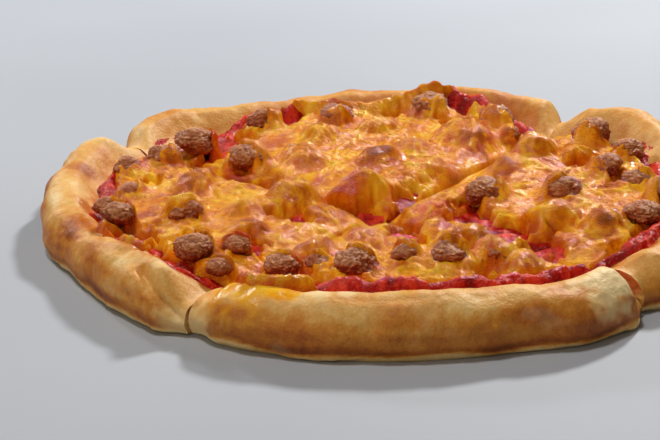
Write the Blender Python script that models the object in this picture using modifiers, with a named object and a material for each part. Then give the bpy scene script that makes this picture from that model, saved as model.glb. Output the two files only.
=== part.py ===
"""A small sausage pizza, cut crosswise into four slices that keep the whole's round shape.

Units are metres, +Z up. The origin is on the underside, below the middle of the pizza, so
the pizza lies on the plane z = 0. The front of the pizza faces -Y.
Each slice is three solids that lie on each other: the dough with its raised rim, the sauce
and the melted cheese. The sausage crumbs that show are solids of their own, each sunk in a
pocket of the cheese. Crumbs wholly under the cheese are humps of its surface.
"""

import math

import bmesh
import bpy
from mathutils import Vector, noise
from mathutils.geometry import delaunay_2d_cdt

MM = 0.001

# Dough
FOOT_RADIUS = 111.5 * MM
RIM_HEIGHT = 17.0 * MM
FLOOR_HEIGHT = 8.5 * MM
RIM_BULGE = 3.2 * MM
CREST_INSET = 7.0 * MM
SLOPE_WIDTH = 19.0 * MM
DOUGH_WAVE = 0.7 * MM
DOUGH_WAVE_LENGTH = 24 * MM
SIDE_WAVE = 1.1 * MM
SIDE_WAVE_LENGTH = 17 * MM
DOUGH_STEPS = 56
FLOOR_RINGS = (0.35, 0.72)
SIDE_TURNS = (62, 38, 16, -8)
BELLY_SHARE = 0.44
SIDE_FULLNESS = 0.8
INNER_SHARE = 0.8
CLOSE = 0.1 * MM
SLOPE_ROWS = 4

# Stations round the rim: angle in degrees, then in mm the foot's radius, the crest's
# height, the sauce's radius, the cheese's radius and the width of the rim's inner slope
RIM_STATIONS = (
    (0, 112.0, 18.0, 98, 93, 15),
    (18, 114.5, 20.0, 99, 94, 15),
    (33, 118.0, 22.5, 101, 96, 15),
    (43, 114.0, 19.5, 97, 94, 15),
    (48, 112.0, 17.5, 96, 92, 15),
    (56, 115.5, 18.5, 98, 94, 14),
    (72, 114.0, 20.5, 104, 101, 13),
    (90, 111.0, 18.5, 97, 91, 12),
    (108, 109.5, 17.5, 98, 91, 12),
    (120, 110.0, 17.5, 97, 89, 12),
    (133, 115.5, 18.5, 98, 89, 12),
    (147, 112.5, 17.0, 97, 89, 12),
    (156, 115.0, 17.5, 99, 92, 12),
    (168, 113.0, 17.5, 98, 91, 12),
    (180, 111.5, 17.0, 95, 89, 12),
    (192, 109.5, 16.0, 97, 92, 10),
    (204, 106.5, 15.0, 96, 94, 9),
    (217, 108.0, 16.5, 99, 95, 11),
    (228, 110.5, 16.5, 99, 93, 13),
    (236, 113.0, 16.0, 97, 92, 16),
    (241, 111.0, 16.0, 96, 94, 18),
    (250, 112.5, 17.0, 98, 99, 19),
    (270, 114.0, 17.5, 100, 90, 19),
    (286, 114.0, 17.5, 100, 91, 19),
    (300, 117.5, 17.0, 101, 93, 18),
    (312, 114.0, 16.5, 101, 94, 17),
    (320, 114.0, 17.0, 100, 94, 16),
    (332, 112.0, 17.5, 99, 93, 15),
)

# Two straight cuts cross off the middle and make four slices, each named for where it lies
CROSSING = Vector((-1.0 * MM, -17.5 * MM))
CUT_ANGLES = {"back_left": 140.2, "front_left": 232.8, "front_right": 320.2, "back_right": 53.1}
SLICES = {
    "left": ("back_left", "front_left"),
    "front": ("front_left", "front_right"),
    "right": ("front_right", "back_right"),
    "back": ("back_right", "back_left"),
}
CUT_GAP = 2.6 * MM

# The wheel that cut the pizza pressed its edges down and drew the rim's corners in
PRESS_WIDTH = 10.0 * MM
PRESS_SHARE = 0.26
RIM_PRESS = {("front", "front_right"): 0.62, ("left", "front_left"): 0.4, ("back", "back_right"): 0.45}
CORNER_PULL = 4.5 * MM
PULL_START = 78.0 * MM
PULL_LENGTH = 30.0 * MM
RIM_START = 86.0 * MM
RIM_BLEND = 16.0 * MM
PRESS_ROWS = (0.35, 0.75)

# Layers
SAUCE_THICKNESS = 1.7 * MM
SAUCE_EDGE = 1.2 * MM
CHEESE_THICKNESS = 2.6 * MM
CHEESE_EDGE = 1.5 * MM
CHEESE_WAVE = 0.9 * MM
CHEESE_WAVE_LENGTH = 13 * MM
WAVE_SHIFT = 1.0
CHEESE_LOBE = 1.6 * MM
EDGE_TAPER = 8.0 * MM
TOUCH_GAP = 0.32 * MM
LAYER_INSET = 0.25 * MM
SAUCE_SPACING = 11.0 * MM
CHEESE_SPACING = 6.0 * MM
SAUCE_BOTTOM = 3.0 * MM
CHEESE_BOTTOM = 5.0 * MM

# How the layers' surfaces are sampled: rings round each crumb, then an even field
HUMP_RINGS = ((0.0, 1), (0.42, 6), (0.85, 9))
RING_CLEARANCE = 0.5
FIELD_CLEARANCE = 0.8
EDGE_MARGIN = 0.55
HALVINGS = 30
WELD = 0.01 * MM
SHORTEST_EDGE = 0.04 * MM

# Sausage crumbs by slice: x, y and width in mm, and the share that cheese covers
CRUMBS = {
    "left": (
        (-87, 24, 11, 0.0), (-75, 33, 12, 0.4), (-83, -3, 9, 0.2), (-85, -36, 12, 0.1),
        (-91, -17, 9, 0.2), (-64, -26, 13, 0.7), (-59, -63, 14, 0.0), (-51, -72, 9, 0.5),
        (-46, -58, 10, 0.3), (-28, -8, 15, 1.0), (-43, -20, 12, 1.0), (-62, 6, 12, 1.0),
        (-43, -41, 11, 1.0),
    ),
    "front": (
        (-10, -76, 13, 0.1), (-21, -70, 8, 0.5), (6, -68, 10, 0.4), (19, -72, 13, 0.1),
        (33, -68, 13, 0.5), (-32, -72, 11, 0.2), (-24, -59, 14, 1.0), (17, -43, 12, 1.0),
        (25, -55, 13, 1.0), (41, -73, 11, 1.0), (-6, -50, 11, 1.0),
    ),
    "right": (
        (77, 50, 16, 0.5), (78, 15, 12, 0.2), (86, -1, 12, 0.2), (60, -11, 13, 0.5),
        (35, -8, 14, 0.2), (69, -42, 12, 0.5), (82.5, -38, 13, 0.0), (88, 31, 11, 0.3),
        (92, -17, 11, 0.4), (55, 35, 14, 1.0), (45, 20, 11, 1.0), (54, -34, 16, 1.0),
        (65, 4, 11, 1.0), (70, 31, 11, 1.0), (24, -20, 10, 1.0),
    ),
    "back": (
        (-65, 49, 16, 0.1), (-45, 31, 14, 0.6), (-41, 74, 13, 0.1), (-14, 82, 13, 0.2),
        (21, 89, 14, 0.6), (45, 73, 13, 0.4), (49, 61, 8, 0.6), (-26, 33, 15, 1.0),
        (1, 70, 13, 1.0), (1, 30, 13, 1.0), (32, 57, 16, 1.0), (-9, -4, 17, 1.0),
        (13, 42, 11, 1.0), (-20, 58, 12, 1.0), (20, 22, 10, 1.0),
    ),
}
CRUMB_SQUAT = 0.7
CRUMB_LIFT = 1.3 * MM
CRUMB_ROUGH = 0.22
LUMP_DENSITY = 1.7
POCKET_GAP = 0.4 * MM
HUMP_RISE = 0.55
COLLAR_RISE = 0.2
HUMP_SPREAD = 0.95

COLOURS = {
    "crust": ((0.76, 0.47, 0.19, 1.0), 0.62),
    "sauce": ((0.55, 0.06, 0.03, 1.0), 0.35),
    "cheese": ((0.85, 0.47, 0.09, 1.0), 0.32),
    "sausage": ((0.25, 0.12, 0.07, 1.0), 0.6),
}


def smooth(share):
    """A smooth step from 0 to 1."""
    share = min(max(share, 0.0), 1.0)
    return share * share * (3.0 - 2.0 * share)


def station(column, angle):
    """One column of the rim's stations at an angle in degrees, in metres."""
    angle %= 360.0
    after = next((i for i, row in enumerate(RIM_STATIONS) if row[0] > angle), 0)
    low, high = RIM_STATIONS[after - 1], RIM_STATIONS[after]
    span = (high[0] - low[0]) % 360.0
    share = smooth(((angle - low[0]) % 360.0) / span)
    return (low[column] + (high[column] - low[column]) * share) * MM


def foot_radius(angle):
    return station(1, angle)


def crest_height(angle):
    return station(2, angle)


def sauce_radius(angle):
    return station(3, angle)


def cheese_radius(angle):
    """The cheese's edge, with the lobes that it melted into."""
    turn = math.radians(angle)
    lobes = math.sin(13 * turn + 0.7) + 0.6 * math.sin(23 * turn + 2.0)
    return station(4, angle) + CHEESE_LOBE * 0.6 * lobes


def slope_width(angle):
    return station(5, angle)


def slope_start(angle):
    """Where the dough starts to climb to the rim's crest."""
    return foot_radius(angle) - CREST_INSET - slope_width(angle)


def polar(x, y):
    return math.hypot(x, y), math.degrees(math.atan2(y, x))


def waves(x, y, length):
    """Soft unevenness between about -1 and 1, with waves of a given length."""
    return 1.6 * noise.noise(Vector((x / length, y / length, 0.37)))


def dough_top(x, y):
    """Height of the dough's upper face inside the crest, before the cuts pressed it."""
    radius, angle = polar(x, y)
    climb = smooth((radius - slope_start(angle)) / slope_width(angle))
    uneven = DOUGH_WAVE * waves(x, y, DOUGH_WAVE_LENGTH)
    return FLOOR_HEIGHT + (crest_height(angle) - FLOOR_HEIGHT) * climb + uneven


def edge_taper(thickness, edge, radius, outer):
    """A layer's thickness, thinner towards its outer edge."""
    return edge + (thickness - edge) * smooth((outer - radius) / EDGE_TAPER)


def sauce_top(x, y):
    radius, angle = polar(x, y)
    return dough_top(x, y) + edge_taper(SAUCE_THICKNESS, SAUCE_EDGE, radius, sauce_radius(angle))


def hump(x, y, crumb):
    """How much a crumb lifts the cheese at a point."""
    centre_x, centre_y, width, cover = crumb
    reach = width * MM * HUMP_SPREAD
    distance = math.hypot(x - centre_x * MM, y - centre_y * MM)
    rise = COLLAR_RISE + (HUMP_RISE - COLLAR_RISE) * (cover == 1.0)
    return rise * width * MM * (1.0 - smooth(distance / reach))


def cheese_top(x, y, crumbs):
    """The cheese's upper face: an even coat, soft waves and the humps of its crumbs."""
    radius, angle = polar(x, y)
    coat = edge_taper(CHEESE_THICKNESS, CHEESE_EDGE, radius, cheese_radius(angle))
    fade = smooth((cheese_radius(angle) - radius) / EDGE_TAPER)
    coat += CHEESE_WAVE * fade * waves(x + WAVE_SHIFT, y, CHEESE_WAVE_LENGTH)
    return sauce_top(x, y) + coat + max(hump(x, y, crumb) for crumb in crumbs)


def cut_direction(cut):
    turn = math.radians(CUT_ANGLES[cut])
    return Vector((math.cos(turn), math.sin(turn)))


def inward(piece, cut):
    """The flat normal of a cut that points into a slice."""
    along = cut_direction(cut)
    side = 1.0 if SLICES[piece][0] == cut else -1.0
    return Vector((-along.y, along.x)) * side


def depth(piece, cut, point):
    """How far inside a slice's cut face a point lies."""
    return (Vector(point[:2]) - CROSSING).dot(inward(piece, cut)) - CUT_GAP / 2


def settled(piece, point):
    """Where a point of a slice goes when its cut edges are pressed down and drawn in."""
    x, y, z = point
    radius = math.hypot(x, y)
    rim_share = smooth((radius - RIM_START) / RIM_BLEND)
    pull = smooth((radius - PULL_START) / PULL_LENGTH)
    moved = Vector((x, y, z))
    for cut in SLICES[piece]:
        near = 1.0 - smooth(depth(piece, cut, point) / PRESS_WIDTH)
        rim_press = RIM_PRESS.get((piece, cut), PRESS_SHARE)
        press = PRESS_SHARE + (rim_press - PRESS_SHARE) * rim_share
        moved.z *= 1.0 - press * near
        moved -= (cut_direction(cut) * CORNER_PULL * pull * near).to_3d()
    return moved


def collection(name):
    group = bpy.data.collections.new(name)
    bpy.context.scene.collection.children.link(group)
    return group


def principled(name):
    """A plain material of a part's colour and roughness."""
    colour, roughness = COLOURS[name]
    material = bpy.data.materials.new(name)
    material.use_nodes = True
    shader = material.node_tree.nodes["Principled BSDF"]
    shader.inputs["Base Color"].default_value = colour
    shader.inputs["Roughness"].default_value = roughness
    material.diffuse_color = colour
    return material


def add_object(name, mesh, group):
    obj = bpy.data.objects.new(name, mesh)
    group.objects.link(obj)
    return obj


def to_mesh(bm, name):
    mesh = bpy.data.meshes.new(name)
    bmesh.ops.recalc_face_normals(bm, faces=bm.faces)
    bm.to_mesh(mesh)
    bm.free()
    return mesh


def evaluated_mesh(obj):
    """The mesh that an object's modifiers make."""
    depsgraph = bpy.context.evaluated_depsgraph_get()
    return bpy.data.meshes.new_from_object(obj.evaluated_get(depsgraph))


def rim_profile():
    """Half section of the uncut dough, from the middle of its top round the rim to its foot."""
    crest = FOOT_RADIUS - CREST_INSET
    rim_start = crest - SLOPE_WIDTH
    points = [(0.0, FLOOR_HEIGHT)]
    points += [(rim_start * share, FLOOR_HEIGHT) for share in FLOOR_RINGS]
    for step in range(SLOPE_ROWS + 1):
        share = step / SLOPE_ROWS
        height = FLOOR_HEIGHT + (RIM_HEIGHT - FLOOR_HEIGHT) * smooth(share)
        points.append((rim_start + SLOPE_WIDTH * share, height))
    belly = BELLY_SHARE * RIM_HEIGHT
    reach = CREST_INSET + RIM_BULGE
    for degrees in SIDE_TURNS:
        turn = math.radians(degrees)
        height = belly + (RIM_HEIGHT - belly) * math.sin(turn)
        points.append((crest + reach * math.cos(turn) ** SIDE_FULLNESS, height))
    points.append((FOOT_RADIUS + 0.55 * RIM_BULGE, 0.12 * RIM_HEIGHT))
    points.append((FOOT_RADIUS, 0.0))
    points.append((0.0, 0.0))
    return points


def whole_dough(group):
    """The round of dough before it is cut: a turned rim that follows the stations."""
    bm = bmesh.new()
    verts = [bm.verts.new((radius, 0.0, height)) for radius, height in rim_profile()]
    for first, second in zip(verts, verts[1:]):
        bm.edges.new((first, second))
    mesh = bpy.data.meshes.new("dough_profile")
    bm.to_mesh(mesh)
    bm.free()
    profile = add_object("dough_profile", mesh, group)
    screw = profile.modifiers.new("turn", "SCREW")
    screw.steps = screw.render_steps = DOUGH_STEPS
    screw.merge_threshold = WELD
    screw.use_merge_vertices = True
    turned = bmesh.new()
    turned.from_mesh(evaluated_mesh(profile))
    bpy.data.objects.remove(profile)
    bmesh.ops.remove_doubles(turned, verts=turned.verts, dist=WELD)
    for vert in turned.verts:
        shape_rim(vert)
    return turned


def shape_rim(vert):
    """Moves a vertex of the even turned dough to the uneven rim's form."""
    radius, angle = polar(vert.co.x, vert.co.y)
    crest = FOOT_RADIUS - CREST_INSET
    rim_start = crest - SLOPE_WIDTH
    is_side = radius > crest + CLOSE
    if is_side:
        grown = radius + foot_radius(angle) - FOOT_RADIUS
    elif radius > rim_start - CLOSE:
        grown = slope_start(angle) + (radius - rim_start) / SLOPE_WIDTH * slope_width(angle)
    else:
        share = smooth((radius - INNER_SHARE * rim_start) / ((1.0 - INNER_SHARE) * rim_start))
        grown = radius + (slope_start(angle) - rim_start) * share
    height = vert.co.z
    if is_side and height > 0.0:
        grown += SIDE_WAVE * waves(vert.co.x, vert.co.y, SIDE_WAVE_LENGTH)
        height *= crest_height(angle) / RIM_HEIGHT
    x = grown * math.cos(math.radians(angle))
    y = grown * math.sin(math.radians(angle))
    if height > 0.0 and not is_side:
        height = dough_top(x, y)
    vert.co = (x, y, height)


def cut_wedge(bm, piece):
    """Cuts a slice out of the round and closes its two cut faces."""
    for cut in SLICES[piece]:
        normal = inward(piece, cut).to_3d()
        face_point = CROSSING.to_3d() + normal * CUT_GAP / 2
        bmesh.ops.bisect_plane(
            bm, geom=bm.verts[:] + bm.edges[:] + bm.faces[:], dist=WELD,
            plane_co=face_point, plane_no=-normal, clear_outer=True)
        rim_edges = [edge for edge in bm.edges if edge.is_boundary]
        bmesh.ops.holes_fill(bm, edges=rim_edges, sides=0)
    for cut in SLICES[piece]:
        normal = inward(piece, cut).to_3d()
        for share in PRESS_ROWS:
            row_point = CROSSING.to_3d() + normal * (CUT_GAP / 2 + share * PRESS_WIDTH)
            bmesh.ops.bisect_plane(
                bm, geom=bm.verts[:] + bm.edges[:] + bm.faces[:], dist=WELD,
                plane_co=row_point, plane_no=normal)


def flatten_foot(bm):
    """Joins the flat underside's faces into one."""
    flat = [face for face in bm.faces if all(vert.co.z < 0.001 * MM for vert in face.verts)]
    edges = {edge for face in flat for edge in face.edges}
    inner = [edge for edge in edges if all(face in flat for face in edge.link_faces)]
    bmesh.ops.dissolve_edges(bm, edges=inner, use_verts=True)


def dough_slice(whole, piece, group):
    bm = whole.copy()
    cut_wedge(bm, piece)
    flatten_foot(bm)
    for vert in bm.verts:
        vert.co = settled(piece, vert.co)
    bmesh.ops.dissolve_degenerate(bm, dist=SHORTEST_EDGE, edges=bm.edges)
    bmesh.ops.triangulate(bm, faces=bm.faces)
    return add_object("dough_" + piece, to_mesh(bm, "dough_" + piece), group)


def end_on_cut(piece, cut, radius_of, inset):
    """Where a line along a cut face meets a layer's outer edge."""
    start = CROSSING + inward(piece, cut) * (CUT_GAP / 2 + inset)
    near, far = 0.5 * FOOT_RADIUS, 1.5 * FOOT_RADIUS
    for _ in range(HALVINGS):
        middle = (near + far) / 2
        point = start + cut_direction(cut) * middle
        radius, angle = polar(point.x, point.y)
        if radius < radius_of(angle):
            near = middle
        else:
            far = middle
    return start + cut_direction(cut) * near


def slice_tip(piece, inset):
    """The slice's inner corner, drawn in from both cut faces."""
    first, second = SLICES[piece]
    offset = CUT_GAP / 2 + inset
    along, across = cut_direction(first), inward(piece, second)
    start = CROSSING + inward(piece, first) * offset
    travel = (offset - (start - CROSSING).dot(across)) / along.dot(across)
    return start + along * travel


def spaced(start, end, spacing):
    """Points from a start up to, but without, an end."""
    count = max(1, round((end - start).length / spacing))
    return [start.lerp(end, step / count) for step in range(count)]


def slice_outline(piece, radius_of, inset, spacing):
    """A layer's outline: from the tip along one cut, round its outer edge and back."""
    first, second = SLICES[piece]
    tip = slice_tip(piece, inset)
    start = end_on_cut(piece, first, radius_of, inset)
    end = end_on_cut(piece, second, radius_of, inset)
    start_angle = math.degrees(math.atan2(start.y, start.x))
    sweep = (math.degrees(math.atan2(end.y, end.x)) - start_angle) % 360.0
    count = round(math.radians(sweep) * start.length / spacing)
    arc = []
    for step in range(1, count):
        angle = start_angle + sweep * step / count
        turn = math.radians(angle)
        arc.append(Vector((math.cos(turn), math.sin(turn))) * radius_of(angle))
    return spaced(tip, start, spacing) + [start] + arc + spaced(end, tip, spacing)


def inner_points(piece, radius_of, inset, spacing, crumbs):
    """Points inside a layer: rings round its crumbs and an even field between them."""
    points = []
    margin = EDGE_MARGIN * spacing

    def free(point, gap):
        radius, angle = polar(point.x, point.y)
        inside = all(depth(piece, cut, point) > inset + margin for cut in SLICES[piece])
        clear = all((point - other).length > gap for other in points)
        return inside and clear and radius < radius_of(angle) - margin

    for crumb in crumbs:
        centre = Vector(crumb[:2]) * MM
        ring = crumb[2] * MM * HUMP_SPREAD
        for share, count in HUMP_RINGS:
            for step in range(count):
                turn = math.tau * (step + share) / count
                point = centre + Vector((math.cos(turn), math.sin(turn))) * ring * share
                if free(point, RING_CLEARANCE * spacing):
                    points.append(point)
    row_height = spacing * math.sqrt(3) / 2
    rows = math.ceil(FOOT_RADIUS / row_height)
    for row in range(-rows, rows + 1):
        for step in range(-rows, rows + 1):
            point = Vector(((step + 0.5 * (row % 2)) * spacing, row * row_height))
            if free(point, FIELD_CLEARANCE * spacing):
                points.append(point)
    return points


def column(name, piece, outline, points, top_of, bottom, group):
    """A closed solid with a triangulated top, upright sides and a flat bottom."""
    count = len(outline)
    loop = [(step, (step + 1) % count) for step in range(count)]
    flat = delaunay_2d_cdt(outline + points, loop, [list(range(count))], 1, 0.001 * MM)
    bm = bmesh.new()
    corners = [bm.verts.new((point.x, point.y, bottom)) for point in flat[0]]
    for face in flat[2]:
        bm.faces.new([corners[index] for index in face])
    raised = bmesh.ops.extrude_face_region(bm, geom=bm.faces[:])["geom"]
    top = {item for item in raised if isinstance(item, bmesh.types.BMVert)}
    for vert in bm.verts:
        x, y, _ = vert.co
        vert.co = settled(piece, (x, y, top_of(x, y)))
        if vert not in top:
            vert.co.z = bottom
    return add_object(name, to_mesh(bm, name), group)


def swollen(mesh, gap):
    """A copy of a solid with its faces moved out by about a gap."""
    copy = mesh.copy()
    for vert, normal in zip(copy.vertices, mesh.vertex_normals):
        vert.co += normal.vector * gap
    return copy


def keep_largest(bm):
    """Drops the loose scraps that a cut leaves."""
    left = set(bm.verts)
    bodies = []
    while left:
        body = {left.pop()}
        front = list(body)
        while front:
            vert = front.pop()
            for edge in vert.link_edges:
                other = edge.other_vert(vert)
                if other in left:
                    left.discard(other)
                    body.add(other)
                    front.append(other)
        bodies.append(body)
    keep = max(bodies, key=len)
    bmesh.ops.delete(bm, geom=[vert for vert in bm.verts if vert not in keep], context="VERTS")


def carve(obj, cutters):
    """Cuts the solids beneath and inside a layer out of it."""
    for cutter in cutters:
        modifier = obj.modifiers.new("cut", "BOOLEAN")
        modifier.operation = "DIFFERENCE"
        modifier.solver = "EXACT"
        modifier.object = cutter
    bm = bmesh.new()
    bm.from_mesh(evaluated_mesh(obj))
    obj.modifiers.clear()
    keep_largest(bm)
    bmesh.ops.dissolve_degenerate(bm, dist=SHORTEST_EDGE, edges=bm.edges)
    bmesh.ops.triangulate(bm, faces=bm.faces)
    obj.data = to_mesh(bm, obj.name)


def crumb_mesh(name, piece, crumb, grow):
    """A lumpy ball of sausage, flattened, that lies just clear of the sauce."""
    x, y, width = crumb[0] * MM, crumb[1] * MM, crumb[2] * MM
    own_lumps = Vector((crumb[0], crumb[1], 0.5)) * 3.1
    bm = bmesh.new()
    bmesh.ops.create_icosphere(bm, subdivisions=2, radius=1.0)
    lowest = 0.0
    for vert in bm.verts:
        normal = vert.co.normalized()
        lump = 1.0 + CRUMB_ROUGH * noise.noise(normal * LUMP_DENSITY + own_lumps)
        place = normal * (0.5 * width * lump)
        place = Vector((x + place.x, y + place.y, place.z * CRUMB_SQUAT))
        ground = settled(piece, (place.x, place.y, sauce_top(place.x, place.y))).z
        lowest = max(lowest, ground - place.z)
        vert.co = place + normal * grow
    bmesh.ops.translate(bm, verts=bm.verts, vec=(0.0, 0.0, lowest + CRUMB_LIFT))
    return to_mesh(bm, name)


def finish(obj, material):
    obj.data.materials.append(material)
    obj.data.shade_smooth()
    obj.data.set_sharp_from_angle(angle=math.radians(50))


def cutter_look(group):
    for obj in group.objects:
        obj.hide_render = True
        obj.display_type = "WIRE"


def build_slice(piece, whole, pizza, cutters, materials):
    crumbs = CRUMBS[piece]
    shown = [crumb for crumb in crumbs if crumb[3] < 1.0]
    dough = dough_slice(whole, piece, pizza)
    raised_dough = add_object("raised_dough_" + piece, dough.data.copy(), cutters)
    raised_dough.location.z = TOUCH_GAP

    outline = slice_outline(piece, sauce_radius, LAYER_INSET, SAUCE_SPACING)
    points = inner_points(piece, sauce_radius, LAYER_INSET, SAUCE_SPACING, shown)
    sauce = column("sauce_" + piece, piece, outline, points, sauce_top, SAUCE_BOTTOM, pizza)
    raised_sauce = add_object("raised_sauce_" + piece, swollen(sauce.data, 1.4 * TOUCH_GAP), cutters)
    carve(sauce, [raised_dough])

    cheese_inset = 2 * LAYER_INSET
    outline = slice_outline(piece, cheese_radius, cheese_inset, CHEESE_SPACING)
    points = inner_points(piece, cheese_radius, cheese_inset, CHEESE_SPACING, crumbs)
    cheese = column(
        "cheese_" + piece, piece, outline, points,
        lambda x, y: cheese_top(x, y, crumbs), CHEESE_BOTTOM, pizza)
    pockets = []
    for number, crumb in enumerate(shown, start=1):
        name = f"crumb_{piece}_{number}"
        ball = add_object(name, crumb_mesh(name, piece, crumb, 0.0), pizza)
        finish(ball, materials["sausage"])
        pockets.append(add_object("pocket_" + name, crumb_mesh(name, piece, crumb, POCKET_GAP), cutters))
    carve(cheese, [raised_sauce, raised_dough] + pockets)
    finish(dough, materials["crust"])
    finish(sauce, materials["sauce"])
    finish(cheese, materials["cheese"])


def main():
    for obj in list(bpy.data.objects):
        bpy.data.objects.remove(obj)
    pizza = collection("pizza")
    cutters = collection("cutters")
    materials = {name: principled(name) for name in COLOURS}
    whole = whole_dough(cutters)
    for piece in SLICES:
        build_slice(piece, whole, pizza, cutters, materials)
    whole.free()
    cutter_look(cutters)


main()
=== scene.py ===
"""A small sausage pizza, cut crosswise into four slices: the fine surface of every piece.

Metres, +Z up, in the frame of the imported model. Each slice has a dough, a sauce and a cheese
piece, and each sausage crumb is a piece of its own. All surfaces come from height functions
of x and y, so the layers lie on each other wherever they are looked at.
"""

import functools
import itertools
import math

import bmesh
import bpy
import numpy as np
from mathutils import Matrix, Vector, noise


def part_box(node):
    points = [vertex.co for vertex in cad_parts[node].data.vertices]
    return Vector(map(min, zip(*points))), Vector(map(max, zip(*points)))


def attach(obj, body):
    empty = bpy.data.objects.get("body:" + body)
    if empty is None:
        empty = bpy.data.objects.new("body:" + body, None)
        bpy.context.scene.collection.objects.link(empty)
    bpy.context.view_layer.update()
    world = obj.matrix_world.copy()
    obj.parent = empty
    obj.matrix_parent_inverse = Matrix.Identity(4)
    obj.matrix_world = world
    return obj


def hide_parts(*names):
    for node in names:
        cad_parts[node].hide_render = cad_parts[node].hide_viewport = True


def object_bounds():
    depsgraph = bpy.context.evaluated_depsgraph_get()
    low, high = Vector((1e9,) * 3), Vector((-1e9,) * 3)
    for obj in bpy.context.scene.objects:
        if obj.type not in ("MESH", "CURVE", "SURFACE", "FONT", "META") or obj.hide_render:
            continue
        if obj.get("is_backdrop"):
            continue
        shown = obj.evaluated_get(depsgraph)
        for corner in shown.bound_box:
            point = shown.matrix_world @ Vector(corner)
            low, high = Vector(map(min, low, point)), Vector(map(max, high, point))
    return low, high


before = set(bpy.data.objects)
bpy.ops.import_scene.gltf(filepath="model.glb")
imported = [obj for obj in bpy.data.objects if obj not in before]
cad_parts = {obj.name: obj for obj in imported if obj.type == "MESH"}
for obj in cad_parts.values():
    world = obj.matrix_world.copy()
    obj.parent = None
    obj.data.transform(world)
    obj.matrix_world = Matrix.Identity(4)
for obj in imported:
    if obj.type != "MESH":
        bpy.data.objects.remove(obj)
CAD_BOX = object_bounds()

MM = 0.001

# Dough, as in the solids
FOOT_RADIUS = 111.5 * MM
FLOOR_HEIGHT = 8.5 * MM
RIM_BULGE = 3.2 * MM
CREST_INSET = 7.0 * MM
DOUGH_WAVE = 0.7 * MM
DOUGH_WAVE_LENGTH = 24 * MM
SIDE_WAVE = 1.1 * MM
SIDE_WAVE_LENGTH = 17 * MM
SIDE_FULLNESS = 0.8
BELLY_SHARE = 0.44
WAVE_GAIN = 1.6
WAVE_PLANE = 0.37

# Stations round the rim: angle in degrees, then in mm the foot's radius, the crest's
# height, the sauce's radius, the cheese's radius and the width of the rim's inner slope
RIM_STATIONS = np.array((
    (0, 112.0, 18.0, 98, 93, 15), (18, 114.5, 20.0, 99, 94, 15),
    (33, 118.0, 22.5, 101, 96, 15), (43, 114.0, 19.5, 97, 94, 15),
    (48, 112.0, 17.5, 96, 92, 15), (56, 115.5, 18.5, 98, 94, 14),
    (72, 114.0, 20.5, 104, 101, 13), (90, 111.0, 18.5, 97, 91, 12),
    (108, 109.5, 17.5, 98, 91, 12), (120, 110.0, 17.5, 97, 89, 12),
    (133, 115.5, 18.5, 98, 89, 12), (147, 112.5, 17.0, 97, 89, 12),
    (156, 115.0, 17.5, 99, 92, 12), (168, 113.0, 17.5, 98, 91, 12),
    (180, 111.5, 17.0, 95, 89, 12), (192, 109.5, 16.0, 97, 92, 10),
    (204, 106.5, 15.0, 96, 94, 9), (217, 108.0, 16.5, 99, 95, 11),
    (228, 110.5, 16.5, 99, 93, 13), (236, 113.0, 16.0, 97, 92, 16),
    (241, 111.0, 16.0, 96, 94, 18), (250, 112.5, 17.0, 98, 99, 19),
    (270, 114.0, 17.5, 100, 90, 19), (286, 114.0, 17.5, 100, 91, 19),
    (300, 117.5, 17.0, 101, 93, 18), (312, 114.0, 16.5, 101, 94, 17),
    (320, 114.0, 17.0, 100, 94, 16), (332, 112.0, 17.5, 99, 93, 15),
))
FOOT, CREST, SAUCE_REACH, CHEESE_REACH, SLOPE = range(1, 6)

# Two straight cuts cross off the middle and make four slices
CROSSING = np.array((-1.0, -17.5)) * MM
CUT_ANGLES = {"back_left": 140.2, "front_left": 232.8, "front_right": 320.2, "back_right": 53.1}
SLICES = {
    "left": ("back_left", "front_left"),
    "front": ("front_left", "front_right"),
    "right": ("front_right", "back_right"),
    "back": ("back_right", "back_left"),
}
CUT_GAP = 2.6 * MM
PRESS_WIDTH = 10.0 * MM
PRESS_SHARE = 0.26
RIM_PRESS = {("front", "front_right"): 0.62, ("left", "front_left"): 0.4, ("back", "back_right"): 0.45}
CORNER_PULL = 4.5 * MM
PULL_START = 78.0 * MM
PULL_LENGTH = 30.0 * MM
RIM_START = 86.0 * MM
RIM_BLEND = 16.0 * MM

# Layers
SAUCE_THICKNESS = 1.7 * MM
SAUCE_EDGE = 1.2 * MM
CHEESE_THICKNESS = 2.6 * MM
EDGE_TAPER = 8.0 * MM
BURIED = 0.9 * MM

# Crumbs wholly under the cheese, by slice: x, y and width in mm
HUMPS = {
    "left": ((-28, -8, 15), (-43, -20, 12), (-62, 6, 12), (-43, -41, 11)),
    "front": ((-24, -59, 14), (17, -43, 12), (25, -55, 13), (41, -73, 11), (-6, -50, 11)),
    "right": ((55, 35, 14), (45, 20, 11), (54, -34, 16), (65, 4, 11), (70, 31, 11), (24, -20, 10)),
    "back": (
        (-26, 33, 15), (1, 70, 13), (1, 30, 13), (32, 57, 16), (-9, -4, 17), (13, 42, 11),
        (-20, 58, 12), (20, 22, 10)),
}
HUMP_RISE = 0.55

# How the cheese lies on the crumbs that show, by slice and number: the share it covers, and
# the side in degrees from which it comes
COVER = {
    "left": (
        (0.1, 320), (0.45, 0), (0.3, 0), (0.25, 60), (0.25, 30), (0.85, 90), (0.3, 60), (0.5, 60),
        (0.5, 80)),
    "front": ((0.35, 60), (0.5, 90), (0.55, 60), (0.4, 60), (0.5, 260), (0.5, 60)),
    "right": (
        (0.15, 250), (0.3, 200), (0.45, 20), (0.5, 120), (0.25, 10), (0.55, 260), (0.1, 180),
        (0.2, 200), (0.4, 170)),
    "back": ((0.2, 30), (0.6, 60), (0.25, 330), (0.25, 270), (0.3, 270), (0.45, 240), (0.6, 200)),
}

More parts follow.
